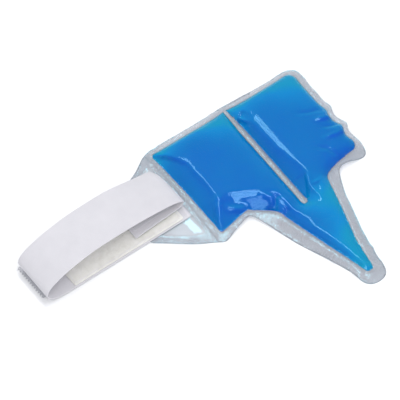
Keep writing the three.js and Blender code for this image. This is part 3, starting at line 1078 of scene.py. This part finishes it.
def build_loop_patch(pile):
    """Loop tape on the lower run: a lumpy ground with hundreds of small standing loops."""
    left, right, far, _ = plan_box("loop_patch")
    near = STRAP_NEAR_EDGE - 1.5
    low, high = height_of("loop_patch", False), height_of("loop_patch", True)
    ground = tape("loop_patch", rectangle(left, right, far, near), low, high - 0.35, pile, roughness=0.3)
    rng = random.Random(11)
    shapes = []
    for _ in range(1500):
        right_at, down_at = rng.uniform(left + 1, right - 1), rng.uniform(far + 1, near - 1)
        turn = rng.uniform(0, math.pi)
        reach, rise = rng.uniform(0.35, 0.8), rng.uniform(0.35, 0.6)
        a = np.linspace(0, math.pi, 6)
        along = -np.cos(a) * reach
        rights = right_at + along * math.cos(turn)
        ups = high - 0.45 + rise * np.sin(a)
        shapes.append(thin_tube(np.column_stack([rights, along * math.sin(turn) - down_at, ups]), 0.09, 4))
    points, faces = joined(shapes)
    loops = add_mesh("loop_patch_pile", to_frame(points), faces, pile)
    for piece in (ground, loops):
        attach(piece, "strap_base")
    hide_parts("loop_patch")


def thin_tube(line, radius, sides):
    """Points and faces of a closed tube along rows of points."""
    tangents = np.gradient(line, axis=0)
    tangents /= np.linalg.norm(tangents, axis=1, keepdims=True)
    points = []
    for centre, tangent in zip(line, tangents):
        guide = np.array((0.0, 0.0, 1.0)) if abs(tangent[2]) < 0.9 else np.array((1.0, 0.0, 0.0))
        one = np.cross(tangent, guide)
        one /= np.linalg.norm(one)
        two = np.cross(tangent, one)
        for k in range(sides):
            a = 2 * math.pi * k / sides
            points.append(centre + (one * math.cos(a) + two * math.sin(a)) * radius)
    faces = []
    for i in range(len(line) - 1):
        for k in range(sides):
            k2 = (k + 1) % sides
            faces.append((i * sides + k2, i * sides + k, (i + 1) * sides + k, (i + 1) * sides + k2))
    faces.append(tuple(range(sides)))
    faces.append(tuple((len(line) - 1) * sides + k for k in range(sides))[::-1])
    return np.array(points), faces


def hook_rows(name, sides, low, height, pitch, hooks, skewed=False):
    """Small nylon hooks that hang under a tape, leaning one way and the other by rows."""
    left, right, far, near = sides
    shapes = []
    for i, right_at in enumerate(np.arange(left + 2, right - 2, pitch)):
        shift = skew_shift(right_at) if skewed else 0
        lean = -0.35 if i % 2 == 0 else 0.35
        for down in np.arange(far + 2, near - 2, pitch):
            arc = np.array([(right_at, -down - shift, low)] * 3)
            arc[1, 2] -= height * 0.6
            arc[2] += (lean, 0, -height)
            shapes.append(thin_tube(arc, 0.14, 4))
    points, faces = joined(shapes)
    return add_mesh(name, to_frame(points), faces, hooks)


def build_hook_tapes(hooks):
    """The hook patch under the free end, and the hook strip under the lower run with its pinked end."""
    left, right, _, _ = plan_box("hook_patch")
    middle, half = UPPER_NEAR_EDGE - STRAP_WIDTH / 2, 20.0
    sides = (left, right, middle - half, middle + half)
    low, high = height_of("hook_patch", False), height_of("hook_patch", True)
    patch = tape("hook_patch", rectangle(*sides), low + 0.5, high, hooks, skewed=True)
    patch_hooks = hook_rows("hook_patch_hooks", sides, low + 0.55, 0.5, 2.0, hooks, skewed=True)

    sides = left, right, far, near = plan_box("hook_strip")
    top = height_of("hook_strip", True)
    tooth, deep = 3.4, 2.4
    pinked = [(right, far)]
    for down in np.arange(far, near - 0.1, tooth):
        pinked += [(left + deep, down), (left, down + tooth / 2)]
    pinked += [(left + deep, near), (right, near)]
    strip = tape("hook_strip", pinked, top - 0.55, top, hooks, step=0.8)
    strip_hooks = hook_rows("hook_strip_hooks", sides, top - 0.5, top - 0.5, 2.2, hooks)
    for piece, body in (
        (patch, "strap_flap"),
        (patch_hooks, "strap_flap"),
        (strip, "strap_base"),
        (strip_hooks, "strap_base"),
    ):
        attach(piece, body)
    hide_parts("hook_patch")
    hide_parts("hook_strip")


def stitches(line, up, pitch=2.7, closed=True):
    """Separate stitches along a plan line: each rises out of the cloth, lies on it and goes back in."""
    loop = np.array([*line, line[0]] if closed else line, float) * (1, -1)
    shares = np.array([0, 0.12, 0.5, 0.88, 1])[:, None]
    heights = up + np.array([-0.15, 0.12, 0.2, 0.12, -0.15])
    shapes = []
    for a, b in zip(loop, loop[1:]):
        count = max(1, round(np.linalg.norm(b - a) / pitch))
        for i in range(count):
            start = a + (b - a) * (i + 0.14) / count
            arc = start + (b - a) * 0.72 / count * shares
            shapes.append(thin_tube(np.column_stack([arc, heights]), 0.24, 6))
    return joined(shapes)


def build_stitching(thread):
    """The rows of stitches that hold the strap and its tapes."""
    start, end, _, _ = plan_box("tab_stitching")
    end -= 0.5
    near, far = STRAP_NEAR_EDGE - 2.5, STRAP_NEAR_EDGE - STRAP_WIDTH + 2.5
    tab_line = ((start, far), (end, far), (end, near), (start, near))
    left, right, far, _ = plan_box("loop_patch", inset=2.5)
    near = STRAP_NEAR_EDGE - 4
    patch = ((left, near), (right, near), (right, far), (left, far))
    left, right, _, _ = plan_box("hook_patch_stitching")
    middle = UPPER_NEAR_EDGE - STRAP_WIDTH / 2
    flap_line = []
    for right_at, side in ((left, 18.0), (right, 18.0), (right, -18.0), (left, -18.0)):
        flap_line.append((right_at, middle + side + skew_shift(right_at)))
    rows = (
        ("tab_stitching", tab_line, height_of("tab_stitching", False) - 0.3, False, "strap_base"),
        ("loop_patch_stitching", patch, height_of("loop_patch", True) - 0.25, True, "strap_base"),
        ("hook_patch_stitching", flap_line, height_of("strap_end", False) + STRAP_THICK, True, "strap_flap"),
    )
    for name, line, up, closed, body in rows:
        points, faces = stitches(line, up, closed=closed)
        piece = add_mesh(name + "_thread", to_frame(points), faces, thread)
        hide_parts(name)
        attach(piece, body)


# ---- studio


WORLD_LIGHT = 0.7
STRIP_TURN = -45.0  # the strip light's long side runs from the far left to the near right
CAMERA_TURN, CAMERA_TILT = math.radians(-36.5), math.radians(57.0)
CAMERA_AWAY = 7.0  # so far that the picture has almost no perspective
PICTURE_WIDTH = 0.4  # metres across the picture at the wrap


def soft_box(name, aim, offset, width, height, power):
    """A rectangular light that faces the wrap."""
    light = bpy.data.lights.new(name, "AREA")
    light.shape = "RECTANGLE"
    light.size, light.size_y = width, height
    light.energy = power
    lamp = add_object(name, light)
    lamp.visible_camera = False
    lamp.location = aim + Vector(offset)
    facing = (-Vector(offset)).to_track_quat("-Z", "Y")
    lamp.rotation_euler = (facing @ Quaternion((0, 0, 1), math.radians(STRIP_TURN))).to_euler()


def build_studio():
    """A pale floor, a bright even sky, two soft boxes, and a long lens above the wrap's near left."""
    aim = place(11.2, 70.6, 0)
    size = 3.0
    corners = [(-size, -size), (size, -size), (size, size), (-size, size)]
    floor = add_mesh("floor", [(x, y, -0.0002) for x, y in corners], [(0, 1, 2, 3)], floor_material(), False)
    world = bpy.data.worlds.new("studio")
    world.use_nodes = True
    world.node_tree.nodes["Background"].inputs["Color"].default_value = (0.93, 0.95, 1.0, 1.0)
    world.node_tree.nodes["Background"].inputs["Strength"].default_value = WORLD_LIGHT
    bpy.context.scene.world = world
    soft_box("key", aim, (0.07, 0.05, 1.2), 1.3, 0.27, 7.0)
    soft_box("side", aim, (-0.62, -0.8, 1.45), 0.9, 0.6, 6.5)
    level = math.cos(CAMERA_TILT)
    back = Vector(
        (math.sin(CAMERA_TURN) * level, -math.cos(CAMERA_TURN) * level, math.sin(CAMERA_TILT))
    )
    camera = add_object("camera", bpy.data.cameras.new("camera"))
    camera.data.lens = camera.data.sensor_width * CAMERA_AWAY / PICTURE_WIDTH
    camera.location = aim + back * CAMERA_AWAY
    camera.rotation_euler = (-back).to_track_quat("-Z", "Y").to_euler()
    bpy.context.scene.camera = camera
    bpy.context.scene.view_settings.view_transform = "Standard"


build_studio()
build_pouch(film_material(), gel_material())
build_strap(elastic_material())
build_loop_patch(pile_material())
build_hook_tapes(hook_material())
build_stitching(thread_material())
